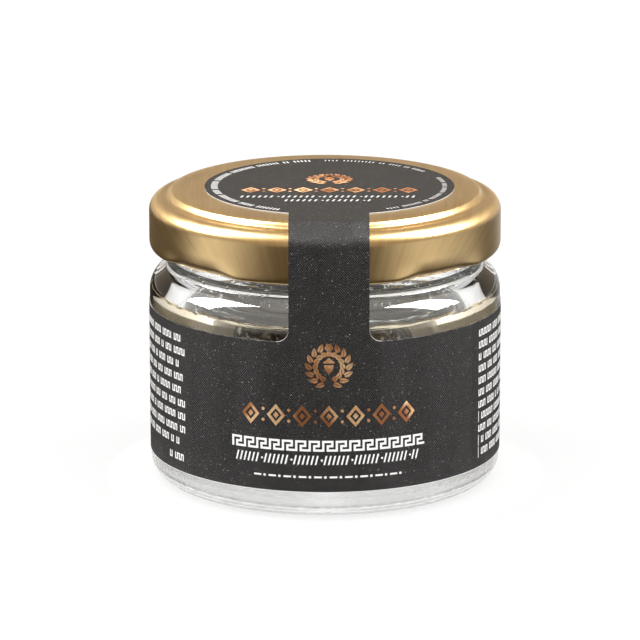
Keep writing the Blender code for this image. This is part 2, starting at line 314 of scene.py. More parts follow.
def ridgeRelief(angle, radius, height):
    if radius < 21.6 or height < 35:
        return radius, height
    for lug in lugAngles:
        along = turnBetween(lug + math.radians(-10), angle) / math.radians(55)
        if -0.1 < along < 1.1:
            ends = min(1.0, (along + 0.1) / 0.15, (1.1 - along) / 0.15)
            off = (height - glass["ridgeLow"] - glass["ridgeClimb"] * along) / glass["ridgeHalfHeight"]
            if abs(off) < 1:
                return radius + glass["ridgeDepth"] * ends * math.cos(off * math.pi / 2), height
    return radius, height


def innerWall(height):  # radius of the inside of the glass at a height above its floor's round
    g = glass
    if height <= g["innerShoulder"]:
        return g["innerRadius"]
    up = min(1.0, (height - g["innerShoulder"]) / g["innerShoulderHeight"])
    return g["mouthRadius"] + (g["innerRadius"] - g["mouthRadius"]) * math.sqrt(1 - up**2)


def glassOutline():
    g = glass
    heel = g["wallRadius"] - g["heelWidth"]
    neck = g["neckRadius"]
    outside = [(0, g["puntRise"]), (g["puntRadius"] * 0.5, g["puntRise"])]
    outside += arc((g["puntRadius"] - 1, 0.1), (0.9, g["puntRise"] - 0.1), 90, 40, 5)
    outside += arc((g["ringRadius"] + 0.6, 0.3), (0.8, 0.3), 220, 270, 4)
    outside += arc((heel, g["heelHeight"]), (g["heelWidth"], g["heelHeight"]), -90, 0, 14)
    bend = g["shoulderRound"]
    reach = math.degrees(math.acos(1 - (g["wallRadius"] - neck - 0.2) / bend))
    outside += arc((g["wallRadius"] - bend, g["shoulderBottom"]), (bend, bend), 0, reach, 22)
    outside.append((neck, outside[-1][1] + 0.35))
    outside += runs([(neck, 35.2), (neck, g["neckTop"])], 0.3)
    outside += arc((neck - g["rimRound"], g["neckTop"]), (g["rimRound"], g["rimRound"]), 0, 90, 8)
    mouth = g["mouthRadius"]
    inside = arc((mouth + g["rimRound"], g["neckTop"]), (g["rimRound"], g["rimRound"]), 90, 180, 8)
    bulge = (g["innerRadius"] - mouth, g["innerShoulderHeight"])
    inside += arc((mouth, g["innerShoulder"]), bulge, 90, 0, 18)
    corner = (g["innerRadius"] - g["floorRound"], g["floor"] + g["floorRound"])
    inside += arc(corner, (g["floorRound"], g["floorRound"]), 0, -90, 14)
    inside.append((0, g["floor"]))
    return outside + inside


def glassFinish():
    finish = Finish("clear moulded glass", {
        "Base Color": (*glass["colour"], 1), "Transmission Weight": 1.0, "IOR": glass["ior"],
    })
    _, _, z = finish.place()
    swell = finish.grain(160, 2.0)
    grain = finish.grain(1700, 3.0)
    low = 1 - z.above(4.2 * mm, 1.6 * mm)  # the base is a little pebbled from its mould
    finish.bump(swell * 0.6 + grain * low * 0.8, 0.12 * mm, 0.4)
    finish.set({"Roughness": 0.008 + low * 0.16})
    return finish.material


def makeGlass():
    shape = turned(glassOutline(), glass["segments"], ridgeRelief)
    jar = newPiece("glass_body", shape, glassFinish())
    settle(jar, "clear_glass", "glass_jar")
    print("glass jar made")


# Lid, in millimetres, heights counted from its lower edge
lid = {
    "bottom": 34.3, "radius": 25.6, "sheet": 0.3, "shoulderRound": 1.9, "ringHeight": 7.4, "height": 8.6,
    "flatRadius": 20.7, "edgeWidth": 2.6, "creaseRound": (1.0, 0.6), "hemWidth": 1.3, "hemRound": 0.6,
    "hemTurn": 1.15, "hemHeight": 1.3, "lugHalfWidth": 20, "lugReach": 0.95, "lugDent": 1.1,
    "dentHeight": 3.1, "segments": 288, "gold": (0.62, 0.45, 0.22), "goldDeep": (0.46, 0.31, 0.13),
    "roughness": 0.31,
}


def lugRelief(angle, radius, height):
    pull = 0.0
    for lug in lugAngles:
        off = abs(turnBetween(lug, angle)) / math.radians(lid["lugHalfWidth"])
        near = min(1.0, max(0.0, (1 - off) * 1.6))
        pull = max(pull, near * near * (3 - 2 * near))
    up = height - lid["bottom"]
    low = max(0.0, 1 - up / lid["dentHeight"])
    dent = lid["lugDent"] * pull * low**1.25
    if radius < lid["radius"] - lid["sheet"] - 0.2 and up <= lid["hemHeight"]:
        dent = lid["lugReach"] * pull
    return radius - dent, height


def lidOutline():
    l = lid
    ringEdge = l["radius"] - l["shoulderRound"]
    step = l["height"] - l["ringHeight"]
    shoulder = (ringEdge, l["ringHeight"] - l["shoulderRound"])
    innerRound = l["shoulderRound"] - l["sheet"]
    outside = [(0, l["height"]), (l["flatRadius"] * 0.5, l["height"])]
    outside += arc((l["flatRadius"], l["ringHeight"]), (l["edgeWidth"], step), 90, 48, 14)
    soft = l["creaseRound"]
    outside += arc((ringEdge - 0.1, l["ringHeight"] + soft[1]), soft, 200, 270, 8)
    outside += arc(shoulder, (l["shoulderRound"], l["shoulderRound"]), 90, 0, 14)
    outside += runs([(l["radius"], shoulder[1]), (l["radius"], l["hemTurn"])], 0.45)[1:-1]
    outside += arc((l["radius"] - l["hemRound"], l["hemTurn"]), (l["hemRound"], l["hemTurn"]), 0, -90, 10)
    hemInner = l["radius"] - l["hemWidth"]
    inside = arc((hemInner + l["hemRound"], l["hemRound"]), (l["hemRound"], l["hemRound"]), -90, -180, 7)
    inside += arc((hemInner + 0.4, l["hemHeight"] - 0.4), (0.4, 0.4), 180, 90, 4)
    skirtInner = l["radius"] - l["sheet"]
    inside += runs([(skirtInner, l["hemHeight"] + 0.3), (skirtInner, shoulder[1])], 0.8)
    inside += arc(shoulder, (innerRound, innerRound), 0, 90, 8)[1:]
    inner = (l["edgeWidth"] - 2 * l["sheet"], step)
    inside += arc((l["flatRadius"], l["ringHeight"] - l["sheet"]), inner, 0, 90, 10)
    inside.append((0, l["height"] - l["sheet"]))
    return [(radius, height + l["bottom"]) for radius, height in outside + inside]


def goldFinish():
    finish = Finish("brushed gold lacquer", {
        "Metallic": 1.0, "Anisotropic": 0.35, "IOR": 1.6, "Coat Weight": 0.35, "Coat Roughness": 0.25,
        "Coat IOR": 1.5,
    })
    x, y, z = finish.place()
    radius = (x * x + y * y).root()
    drop = (lid["bottom"] + lid["height"]) * mm - z
    flat = (radius + drop) / (radius + 0.0001)  # the sheet before it was drawn
    sheetX = x * flat
    sheetY = y * flat
    fine = finish.noise(finish.joined(sheetX * 5200, sheetY * 120), 1.0, 3.0, 0.6)
    broad = finish.noise(finish.joined(sheetX * 900, sheetY * 40), 1.0, 2.0)
    cloud = finish.grain(90, 3.0)
    tone = fine * 0.5 + broad * 0.35 + cloud * 0.3
    colour = finish.blend(tone.above(0.57, 0.3), lid["goldDeep"], lid["gold"])
    roughness = lid["roughness"] + (fine - 0.5) * 0.16 + (cloud - 0.5) * 0.06
    finish.set({"Base Color": colour, "Roughness": roughness})
    finish.bump(fine * 0.7 + broad * 0.3, 0.012 * mm, 0.6)
    return finish.material


def lacquerFinish():
    finish = Finish("white inner lacquer", {"IOR": 1.5})
    mottle = finish.grain(500, 3.0)
    colour = finish.blend(mottle, (0.86, 0.85, 0.82), (0.80, 0.78, 0.74))
    finish.set({"Base Color": colour, "Roughness": 0.25 + mottle * 0.15})
    finish.bump(mottle, 0.02 * mm, 0.4)
    return finish.material


def makeLid():
    shape = turned(lidOutline(), lid["segments"], lugRelief)
    cap = newPiece("gold_cap", shape, goldFinish(), lacquerFinish(), sharpDegrees=60)
    for face in cap.data.polygons:
        spot = face.center / mm
        upward = face.normal.z
        outward = (spot.x * face.normal.x + spot.y * face.normal.y) / max(0.001, math.hypot(spot.x, spot.y))
        inside = min(outward, upward) < -0.15 and upward < 0.3 and outward < 0.6
        if inside and spot.z > lid["bottom"] + 1:  # above the rolled hem
            face.material_index = 1
    settle(cap, "gold_lid", "lid")
    print("lid made")


# Sealing ring in the lid's channel, in millimetres
seal = {
    "innerRadius": 19.7, "outerRadius": 24.2, "low": 40.2, "step": 22.4, "segments": 160,
    "colour": (0.74, 0.72, 0.68), "worn": (0.64, 0.62, 0.58),
}


def makeSeal():
    s = seal
    under = lid["bottom"] + lid["ringHeight"] - lid["sheet"]
    profile = arc((s["innerRadius"] + 0.4, s["low"] + 0.4), (0.4, 0.4), 180, 270, 5)
    profile += arc((s["outerRadius"] - 0.4, s["low"] + 0.4), (0.4, 0.4), -90, 60, 7)
    profile += [(s["step"] + 0.3, under - 0.05), (s["step"], under)]
    profile += arc((s["innerRadius"] + 0.7, under), (1.6, 0.8), 20, 150, 9)
    finish = Finish("pale sealing compound", {"Roughness": 0.55, "IOR": 1.5})
    mottle = finish.grain(700, 3.0)
    finish.set({"Base Color": finish.blend(mottle, s["colour"], s["worn"])})
    finish.bump(mottle, 0.04 * mm, 0.4)
    ring = newPiece("sealing_ring", turned(profile, s["segments"]), finish.material)
    settle(ring, "sealing_compound", "lid_gasket")
    print("sealing ring made")


# Label, in millimetres: band, strip and disc cut from one sheet
label = {
    "paper": 0.09, "lift": 0.02, "bandBottom": 4.3, "bandTop": 26.2, "seamGap": 1.4, "stripLeft": -5.15,
    "stripRight": 6.25, "fillet": 1.8, "discRadius": 18.17, "discX": 0.65, "stripColumns": 20,
    "bandSteps": 90, "bandRows": 14, "discSteps": 120, "cutEdge": 0.11,
    "lane": 4.2, "pitch": 0.4, "slope": 1.19,
    "black": (0.006, 0.0055, 0.006), "thread": (0.115, 0.11, 0.108), "fleck": (0.50, 0.49, 0.47),
    "backing": (0.90, 0.88, 0.84), "edge": (0.8, 0.79, 0.77),
}
bandRadius = glass["wallRadius"] + label["lift"] + label["paper"]
discHeight = lid["bottom"] + lid["height"] + label["lift"] + label["paper"]


def pulledTight(points):  # the convex outline of the points, as of paper held taut over them
    chain = []
    for point in points:
        while len(chain) > 1:
            (r0, z0), (r1, z1) = chain[-2:]
            if (r1 - r0) * (point[1] - z0) - (z1 - z0) * (point[0] - r0) < 0:
                break
            chain.pop()
        chain.append(point)
    return chain


def stripSection():
    off = label["lift"] + label["paper"]
    ring = lid["bottom"] + lid["ringHeight"]
    shoulder = (lid["radius"] - lid["shoulderRound"], ring - lid["shoulderRound"])
    turn = lid["shoulderRound"] + off
    covered = [(lid["flatRadius"] - 1, discHeight)]
    covered += arc((lid["flatRadius"], ring), (lid["edgeWidth"] + off, discHeight - ring), 90, 0, 40)
    covered += arc(shoulder, (turn, turn), 90, 0, 30)
    covered += [(lid["radius"] + off, lid["bottom"] + 0.8), (bandRadius, label["bandTop"])]
    return pulledTight(covered)


def flatPlace(spot, rise, discMiddle):  # where a point of the bent sheet lies on the flat one, in metres
    radius = math.hypot(spot.x, spot.y)
    if spot.z > discHeight - 0.001:
        return spot.x * mm, (discMiddle + spot.y) * mm
    u = radius * (math.atan2(spot.y, spot.x) + math.pi / 2)
    if u > radius * math.pi:
        u -= radius * 2 * math.pi
    v = spot.z
    for (high, farther), (low, nearer) in zip(rise, rise[1:]):
        if low <= spot.z <= high:
            v = nearer + (farther - nearer) * (spot.z - low) / max(1e-6, high - low)
    return u * mm, v * mm


def labelSheet():
    shape = bmesh.new()
    spots = {}

    def vert(x, y, z, u, v):
        made = shape.verts.new((x * mm, y * mm, z * mm))
        spots[made] = (u * mm, v * mm)
        return made

    def rows(upper, lower):
        for step in range(len(upper) - 1):
            shape.faces.new((upper[step], lower[step], lower[step + 1], upper[step + 1]))

    l = label
    section = stripSection()
    radius = section[-1][0]
    lastRadius, lastHeight = section[-2]
    strip = runs(section[:2], 0.5) + section[2:-1]
    strip += runs([section[-2], (lastRadius, l["bandTop"] + l["fillet"] + 0.2)], 1.0)[1:]
    for step in range(9):
        up = l["bandTop"] + l["fillet"] * (1 - math.sin(math.pi / 2 * step / 8))
        share = (up - l["bandTop"]) / (lastHeight - l["bandTop"])
        strip.append((radius + (lastRadius - radius) * share, up))
    lengths = [0.0]
    for before, after in zip(strip[::-1], strip[::-1][1:]):
        lengths.append(lengths[-1] + math.dist(before, after))
    along = [l["bandTop"] + length for length in lengths][::-1]
    discMiddle = along[0] + strip[0][0]

    def discVert(x, y):
        return vert(x, y, discHeight, x, discMiddle + y)

    def across(up):
        reach = l["bandTop"] + l["fillet"] - up
        flare = l["fillet"] - math.sqrt(max(0.0, l["fillet"] ** 2 - reach**2)) if reach > 0 else 0.0
        left = l["stripLeft"] - flare
        right = l["stripRight"] + flare
        return [left + (right - left) * column / l["stripColumns"] for column in range(l["stripColumns"] + 1)]

    edge = []
    for x in across(discHeight):
        y = -math.sqrt(l["discRadius"] ** 2 - (x - l["discX"]) ** 2)
        edge.append(discVert(x, y))
    first = math.atan2(edge[-1].co.y, edge[-1].co.x - l["discX"] * mm)
    last = math.atan2(edge[0].co.y, edge[0].co.x - l["discX"] * mm) + 2 * math.pi
    back = []
    for step in range(1, l["discSteps"]):
        spot = around(l["discRadius"], 0, first + (last - first) * step / l["discSteps"])
        back.append(discVert(spot.x + l["discX"], spot.y))
    rim = edge + back
    for share in (0.66, 0.33):
        inner = []
        for outer in rim:
            x = l["discX"] + (outer.co.x / mm - l["discX"]) * share
            y = outer.co.y / mm * share
            inner.append(discVert(x, y))
        for (near, nearAfter), (far, farAfter) in zip(neighbours(inner), neighbours(rim)):
            shape.faces.new((near, far, farAfter, nearAfter))
        rim = inner
    middle = discVert(l["discX"], 0)
    for before, after in neighbours(rim):
        shape.faces.new((middle, before, after))

    upper = edge
    for (radius, up), v in zip(strip, along):
        lower = []
        for x in across(up):
            lower.append(vert(x, -math.sqrt(radius**2 - x**2), up, radius * math.asin(x / radius), v))
        rows(upper, lower)
        upper = lower

    seam = l["seamGap"] / 2 / bandRadius
    rightStart = math.atan2(upper[-1].co.y, upper[-1].co.x)
    leftStart = math.atan2(upper[0].co.y, upper[0].co.x)
    rightTurn = math.pi / 2 - seam - rightStart
    leftTurn = seam - math.pi * 1.5 - turnBetween(0, leftStart)
    right = []
    left = []
    for step in range(1, l["bandSteps"] + 1):
        for side, begin, turn in ((right, rightStart, rightTurn), (left, leftStart, leftTurn)):
            angle = begin + turn * step / l["bandSteps"]
            spot = around(bandRadius, l["bandTop"], angle)
            side.append(vert(spot.x, spot.y, spot.z, bandRadius * (angle + math.pi / 2), l["bandTop"]))
    upper = left[::-1] + upper + right
    for row in range(1, l["bandRows"] + 1):
        up = l["bandTop"] + (l["bandBottom"] - l["bandTop"]) * row / l["bandRows"]
        lower = [vert(v.co.x / mm, v.co.y / mm, up, spots[v][0] / mm, up) for v in upper]
        rows(upper, lower)
        upper = lower

    layer = shape.loops.layers.uv.new("flat")
    for face in shape.faces:
        face.smooth = True
        for loop in face.loops:
            loop[layer].uv = spots[loop.vert]
    trim = bmesh.ops.inset_region(
        shape, faces=shape.faces, thickness=l["cutEdge"] * mm, use_boundary=True, use_even_offset=True,
        use_interpolate=True,
    )
    for face in trim["faces"]:
        face.material_index = 2
    rise = [(height, length) for (_, height), length in zip(strip, along)]
    for face in shape.faces:
        for loop in face.loops:
            loop[layer].uv = flatPlace(loop.vert.co / mm, rise, discMiddle)
    return shape


def paperFinish():
    finish = Finish("charcoal herringbone paper", {"IOR": 1.5, "Specular IOR Level": 0.24})
    u, v, _ = finish.place("UV")
    lane = ((u + 0.4 * mm) / (label["lane"] * mm)).fold(1.0)  # columns of threads that lean to and fro
    slant = v + lane * label["lane"] * mm * label["slope"]
    thread = (slant / (label["pitch"] * mm)).fold(0.5) * 2
    flat = finish.joined(u * 1000, v * 1000)
    fibre = finish.noise(flat, 4.0, 3.0)
    worn = finish.noise(flat, 0.5, 2.0)
    mark = thread.above(0.72, 0.26) * (0.2 + fibre.above(0.5, 0.14) * 0.8) * (0.5 + worn * 0.8)
    speck = finish.noise(finish.joined(u * 1000, v * 1000, 4.0), 4.4, 1.0).above(0.745, 0.025)
    colour = finish.blend(mark, label["black"], label["thread"])
    colour = finish.blend(speck * 0.75, colour, label["fleck"])
    finish.set({"Base Color": colour, "Roughness": 0.5 + fibre * 0.14})
    finish.bump(thread * 0.8 + fibre * 0.5, 0.06 * mm, 0.8)
    return finish.material


def plainPaper(name, colour):
    finish = Finish(name, {"Roughness": 0.7, "IOR": 1.45})
    fibre = finish.grain(2600, 3.0)
    finish.set({"Base Color": finish.blend(fibre * 0.3, colour, tuple(c * 0.8 for c in colour))})
    finish.bump(fibre, 0.02 * mm, 0.3)
    return finish.material


def makeLabel():
    backing = plainPaper("label backing", label["backing"])
    cutEdge = plainPaper("cut paper edge", label["edge"])
    sheet = newPiece("paper_label", labelSheet(), paperFinish(), backing, cutEdge, sharpDegrees=60)
    thickness = sheet.modifiers.new("paper", "SOLIDIFY")
    thickness.thickness = label["paper"] * mm
    thickness.offset = -1
    thickness.use_even_offset = True
    thickness.material_offset = 1
    thickness.material_offset_rim = 2
    settle(sheet, "label_paper", "label")
    print("label made")


# Truffle: the solid's own warts, made finer and rougher
truffle = {
    "detail": 2, "grain": 0.16, "grainScale": 900, "pit": 0.12, "pitScale": 420, "seed": 3.0,
    "black": (0.016, 0.012, 0.010), "brown": (0.075, 0.045, 0.028),
}


def skinGrowth():
    growth = Growth("truffle skin", {
        "Grain": "Float", "GrainScale": "Float", "Pit": "Float", "PitScale": "Float", "Seed": "Float",
        "Material": "Material",
    })
    place = growth.add("GeometryNodeInputPosition").outputs[0]
    normal = growth.add("GeometryNodeInputNormal").outputs[0]
    shifted = growth.vector("ADD", place, growth.given("Seed"))
    grain = growth.add("ShaderNodeTexNoise", sockets={"Vector": shifted, "Scale": growth.given("GrainScale")})
    pit = growth.add("ShaderNodeTexVoronoi", sockets={"Vector": shifted, "Scale": growth.given("PitScale")})
    lift = growth.sum("MULTIPLY", growth.sum("SUBTRACT", grain.outputs[0], 0.5), growth.given("Grain"))
    sink = growth.sum("MULTIPLY", growth.sum("SUBTRACT", 0.5, pit.outputs[0]), growth.given("Pit"))
    move = growth.vector("SCALE", normal, growth.sum("SUBTRACT", lift, sink), "Scale")
    sockets = {"Geometry": growth.given("Geometry"), "Offset": move}
    moved = growth.add("GeometryNodeSetPosition", sockets=sockets)
    growth.finish(moved.outputs[0], growth.given("Material"))
    return growth


def truffleFinish():
    finish = Finish("truffle skin", {"IOR": 1.45, "Coat Weight": 0.35, "Coat Roughness": 0.18})
    fine = finish.grain(900, 5.0, 0.65)
    patch = finish.grain(220, 3.0)
    colour = finish.blend((fine * 0.6 + patch * 0.5).above(0.6, 0.14), truffle["black"], truffle["brown"])
    finish.set({"Base Color": colour, "Roughness": 0.45 + fine * 0.25})
    finish.bump(fine, 0.08 * mm, 0.6)
    return finish.material


def makeTruffle():
    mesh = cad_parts["truffle"].data.copy()
    mesh.materials.clear()
    shape = bmesh.new()
    shape.from_mesh(mesh)
    bmesh.ops.remove_doubles(shape, verts=shape.verts, dist=0.001 * mm)
    bmesh.ops.recalc_face_normals(shape, faces=shape.faces)
    rough = newPiece("rough truffle", shape, sharpDegrees=180)
    finer = rough.modifiers.new("finer", "SUBSURF")
    finer.levels = truffle["detail"]
    finer.render_levels = truffle["detail"]
    values = {
        "Grain": truffle["grain"] * mm, "GrainScale": truffle["grainScale"], "Pit": truffle["pit"] * mm,
        "PitScale": truffle["pitScale"], "Seed": truffle["seed"], "Material": truffleFinish(),
    }
    whole = skinGrowth().grow("black_truffle", rough, values)
    settle(whole, "truffle_skin", "truffle")
    print("truffle made")


# Juice round the truffle, in millimetres
juice = {
    "level": 27.0, "climb": 0.6, "lipRipple": 0.22, "overlap": 0.04, "segments": 200, "seed": 5.0,
    "colour": (0.95, 0.88, 0.72), "deep": (0.90, 0.76, 0.54), "ior": 1.34,
}


def lipRelief(angle, radius, height):  # the juice clings a little higher in some places than in others
    up = max(0.0, height - juice["level"]) / juice["climb"]
    place = Vector((math.cos(angle) * 9, math.sin(angle) * 9, juice["seed"]))
    lift = noise.noise(place) + 0.6 * noise.noise(place * 3.1)
    level = height + juice["lipRipple"] * up * lift
    if radius > innerWall(height) - juice["overlap"] and up > 0:
        radius = innerWall(level) + juice["overlap"]
    return radius, level


def makeJuice():
    wall = glass["innerRadius"] + juice["overlap"]
    low = glass["floor"] - juice["overlap"]
    bend = glass["floorRound"]
    top = juice["level"] + juice["climb"]
    profile = [(0, low)]
    profile += arc((wall - bend, low + bend), (bend, bend), -90, 0, 14)
    for step in range(9):
        height = glass["innerShoulder"] + (top - glass["innerShoulder"]) * step / 8
        profile.append((innerWall(height) + juice["overlap"], height))
    lip = profile[-1][0] - 0.12
    profile += arc((lip - juice["climb"], top), (juice["climb"], juice["climb"]), 0, -90, 8)
    profile.append((0, juice["level"]))
    finish = Finish("thin brown juice", {"Transmission Weight": 1.0, "IOR": juice["ior"], "Roughness": 0})
    cloud = finish.grain(130, 4.0)
    finish.set({"Base Color": finish.blend(cloud, juice["colour"], juice["deep"])})
    finish.bump(cloud, 0.05 * mm, 0.3)
    liquid = newPiece("truffle_juice", turned(profile, juice["segments"], lipRelief), finish.material)
    settle(liquid, "truffle_juice", "juice")
    print("juice made")


# Drops that cling inside the shoulder, in millimetres
drops = {
    "low": 29.8, "high": 34.2, "perArea": 1.1, "least": 0.07, "most": 0.34, "flatness": 0.55, "seed": 11,
    "rows": 12, "segments": 96,
}


def dropGrowth():
    growth = Growth("clinging drops", {
        "PerArea": "Float", "Least": "Float", "Most": "Float", "Flatness": "Float", "Seed": "Int",
        "Material": "Material",
    })
    spots = growth.add("GeometryNodeDistributePointsOnFaces", {"distribute_method": "RANDOM"}, {
        "Mesh": growth.given("Geometry"), "Density": growth.given("PerArea"), "Seed": growth.given("Seed"),
    })
    size = growth.add("FunctionNodeRandomValue", {"data_type": "FLOAT"}, {"Seed": growth.given("Seed")})
    share = growth.sum("POWER", size.outputs["Value"], 3.0)
    span = growth.sum("SUBTRACT", growth.given("Most"), growth.given("Least"))
    width = growth.sum("ADD", growth.given("Least"), growth.sum("MULTIPLY", span, share))
    scale = growth.add("ShaderNodeCombineXYZ", sockets={
        "X": width, "Y": width, "Z": growth.sum("MULTIPLY", width, growth.given("Flatness")),
    })
    drop = growth.add("GeometryNodeMeshIcoSphere", sockets={"Radius": 1.0, "Subdivisions": 3})
    placed = growth.add("GeometryNodeInstanceOnPoints", sockets={
        "Points": spots.outputs["Points"], "Instance": drop.outputs["Mesh"],
        "Rotation": spots.outputs["Rotation"], "Scale": scale.outputs[0],
    })
    growth.finish(placed.outputs[0], growth.given("Material"))
    return growth


def makeDrops():
    d = drops
    shape = bmesh.new()
    rings = []
    for row in range(d["rows"] + 1):
        height = d["low"] + (d["high"] - d["low"]) * row / d["rows"]
        ring = []
        for step in range(d["segments"]):
            spot = around(innerWall(height) - 0.02, height, 2 * math.pi * step / d["segments"])
            ring.append(shape.verts.new(spot * mm))
        rings.append(ring)
    for lower, upper in zip(rings, rings[1:]):
        for (low, lowAfter), (up, upAfter) in zip(neighbours(lower), neighbours(upper)):
            shape.faces.new((lowAfter, low, up, upAfter))
    base = newPiece("drop band", shape)
    finish = Finish("clinging water", {"Transmission Weight": 1.0, "IOR": 1.33})
    haze = finish.grain(900, 2.0)
    finish.set({"Roughness": haze * 0.06, "Base Color": finish.blend(haze, (1, 1, 1), (0.96, 0.95, 0.92))})
    values = {
        "PerArea": d["perArea"] / mm**2, "Least": d["least"] * mm, "Most": d["most"] * mm,
        "Flatness": d["flatness"], "Seed": d["seed"], "Material": finish.material,
    }
    whole = dropGrowth().grow("wall_drops", base, values)
    whole.data.shade_smooth()
    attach(whole, "root")
    print("drops made")


# Printed art on the label, in millimetres on the flat sheet: u to the right round the jar, v upwards.
# It is a wreath with an acorn, a row of lozenges, a key border and rows of plain strokes.
art = {
    "middle": 0.55, "wreathUp": 22.7, "lozengeUp": 15.45, "lozenges": 7, "lozengeStep": 3.8, "keyUp": 11.1,
    "keyCell": 0.32, "keyWidth": 29.0, "slantUp": 9.0, "slantWidth": 27.6, "dashUp": 6.5, "dashWidth": 24.2,
    "rowHeight": 1.02, "strokePitch": 0.5, "strokeWidth": 0.25, "tie": 0.22, "leftEdge": -22.8, "leftRows": 9,
    "leftTop": 24.1, "leftStep": 1.92, "rightEdge": 26.6, "rightRows": 11, "rightTop": 24.3,
    "rightStep": 1.78, "panelWidth": 22.0, "discWreath": 4.3, "discLozenge": -2.8, "discKey": -7.0,
    "discSlant": -9.4, "ringRadius": 16.75, "ringStroke": 0.85, "ringPitch": 0.56, "lift": 0.012,
    # the foil's dark and pale copper tones are painted shade and painted sheen, standing in for its
    # reflections
    "film": 0.012, "bendStep": 0.8, "seed": 4, "copper": (0.93, 0.52, 0.25), "copperPaintedShade": (0.42, 0.17, 0.07),
    "copperPaintedSheen": (1.0, 0.78, 0.50), "white": (0.93, 0.92, 0.90),
}


def patch(shape, points):
    shape.faces.new([shape.verts.new((u, v, 0)) for u, v in points])


def bar(shape, left, low, right, high, slant=0.0):
    patch(shape, [(left, low), (right, low), (right + slant, high), (left + slant, high)])


def lozengeRing(shape, u, v, wide, high, share):
    outer = [(u + wide, v), (u, v + high), (u - wide, v), (u, v - high)]
    inner = [(u + (x - u) * share, v + (y - v) * share) for x, y in outer]
    for (far, farAfter), (near, nearAfter) in zip(neighbours(outer), neighbours(inner)):
        patch(shape, [far, farAfter, nearAfter, near])


def dot(shape, u, v, radius, steps=12):
    turns = [2 * math.pi * step / steps for step in range(steps)]
    patch(shape, [(u + radius * math.cos(turn), v + radius * math.sin(turn)) for turn in turns])


def headed(base, degrees):  # gives points by how far they lie along a heading, and how far to its left
    turn = math.radians(degrees)
    x, y = math.cos(turn), math.sin(turn)
    return lambda far, off: (base[0] + x * far - y * off, base[1] + y * far + x * off)


def leaf(shape, base, degrees, length, width):  # two halves on either side of a bare vein
    spot = headed(base, degrees)
    vein = 0.035
    for side in (1, -1):
        edge = [(0.12 * length, vein)]
        for step in range(2, 13):
            share = step / 13
            edge.append((share * length, vein + width * math.sin(math.pi * share**0.8)))
        edge.append((length, vein))
        points = [spot(far, off * side) for far, off in edge]
        patch(shape, points[::-1] if side > 0 else points)


def acorn(shape, base, degrees, length, width):
    spot = headed(base, degrees)
    cap = [spot(0.0, 0.12), spot(0.0, -0.12)]
    for side, turns in ((-1, (0.5, 0.9, 1.25, 1.57)), (1, (1.57, 1.25, 0.9, 0.5))):
        for a in turns:
            cap.append(spot(length * 0.32 - width * math.cos(a) * 0.62, side * width * math.sin(a)))
    patch(shape, cap)
    nut = [spot(length * 0.42, -width * 0.84)]
    for step in range(1, 10):
        a = math.pi * step / 10
        point = 0.16 * length if step == 5 else 0.0
        nut.append(spot(length * 0.42 + (length * 0.5) * math.sin(a) + point, -width * 0.84 * math.cos(a)))
    nut.append(spot(length * 0.42, width * 0.84))
    patch(shape, nut)


def wreath(shape, u, v):  # leaves in pairs up both sides of an acorn
    outer = {"lean": -34, "length": 1.5, "off": 0.12}
    inner = {"lean": 34, "length": 1.25, "off": -0.12}
    for side in (-1, 1):
        for step in range(8):
            turn = -90 + side * (12 + 22 * step)
            heading = turn + side * 90
            for kind in (outer, inner):
                middle = around(2.3 + kind["off"], 0, math.radians(turn))
                lean = side * kind["lean"]
                leaf(shape, (u + middle.x, v + middle.y), heading + lean, kind["length"], width=0.34)
    acorn(shape, (u, v + 1.3), -90, length=2.35, width=0.82)


def lozengeRow(shape, u, v, count, step, scale=1.0):
    for index in range(count):
        here = u + (index - (count - 1) / 2) * step
        lozengeRing(shape, here, v, 1.35 * scale, 1.62 * scale, share=0.6)
        lozengeRing(shape, here, v, 0.42 * scale, 0.5 * scale, share=0.02)
        if index < count - 1:
            for side in (-1, 1):
                dot(shape, here + step / 2, v + side * 0.8 * scale, 0.24 * scale)


def keyRow(shape, u, v, width, cell):  # a running key border
    unit = 6 * cell
    count = round(width / unit)
    low = v - 2.5 * cell
    for index in range(count):
        left = u + (index - count / 2) * unit
        for box in ((0, 0, 1, 5), (1, 4, 5, 5), (4, 2, 5, 4), (2, 2, 4, 3), (2, 0, 3, 2), (3, 0, 6, 1)):
            x0, y0, x1, y1 = (cells * cell for cells in box)
            bar(shape, left + x0, low + y0, left + x1, low + y1)


def slantRow(shape, u, v, width, height, pitch, stroke):
    count = int(width / pitch)
    for index in range(count):
        left = u + (index - count / 2) * pitch
        if index % 7 == 6:
            dot(shape, left + stroke, v, stroke * 0.8, 4)
        else:
            foot = left - 0.12 * height
            bar(shape, foot, v - height / 2, foot + stroke, v + height / 2, 0.25 * height)


def dashRow(shape, u, v, width):
    pitch = 2.2
    half = 0.13
    count = int(width / pitch)
    for index in range(count):
        left = u + (index - count / 2) * pitch
        bar(shape, left + 0.1, v - half, left + 1.2, v + half)
        dot(shape, left + 1.7, v, 0.2, 10)


def strokeWords(draw, total, pitch):  # start and end of each run of strokes along a row
    here = 0
    while here < total - 2:
        size = draw.choice((2, 4, 5, 6, 7, 9))
        end = min(total, here + size)
        yield here * pitch, end * pitch
        here = end + 1


def strokeRow(shape, draw, left, v, width):  # upright strokes tied in pairs, at the top and then at the foot
    half = art["rowHeight"] / 2
    stroke = art["strokeWidth"]
    pitch = art["strokePitch"]
    tie = art["tie"]
    for start, end in strokeWords(draw, int(width / pitch), pitch):
        count = round((end - start) / pitch)
        for index in range(count):
            u = left + start + index * pitch
            bar(shape, u, v - half, u + stroke, v + half)
            if index < count - 1:
                low = v + half - tie if index % 2 else v - half
                bar(shape, u + stroke, low, u + pitch, low + tie)


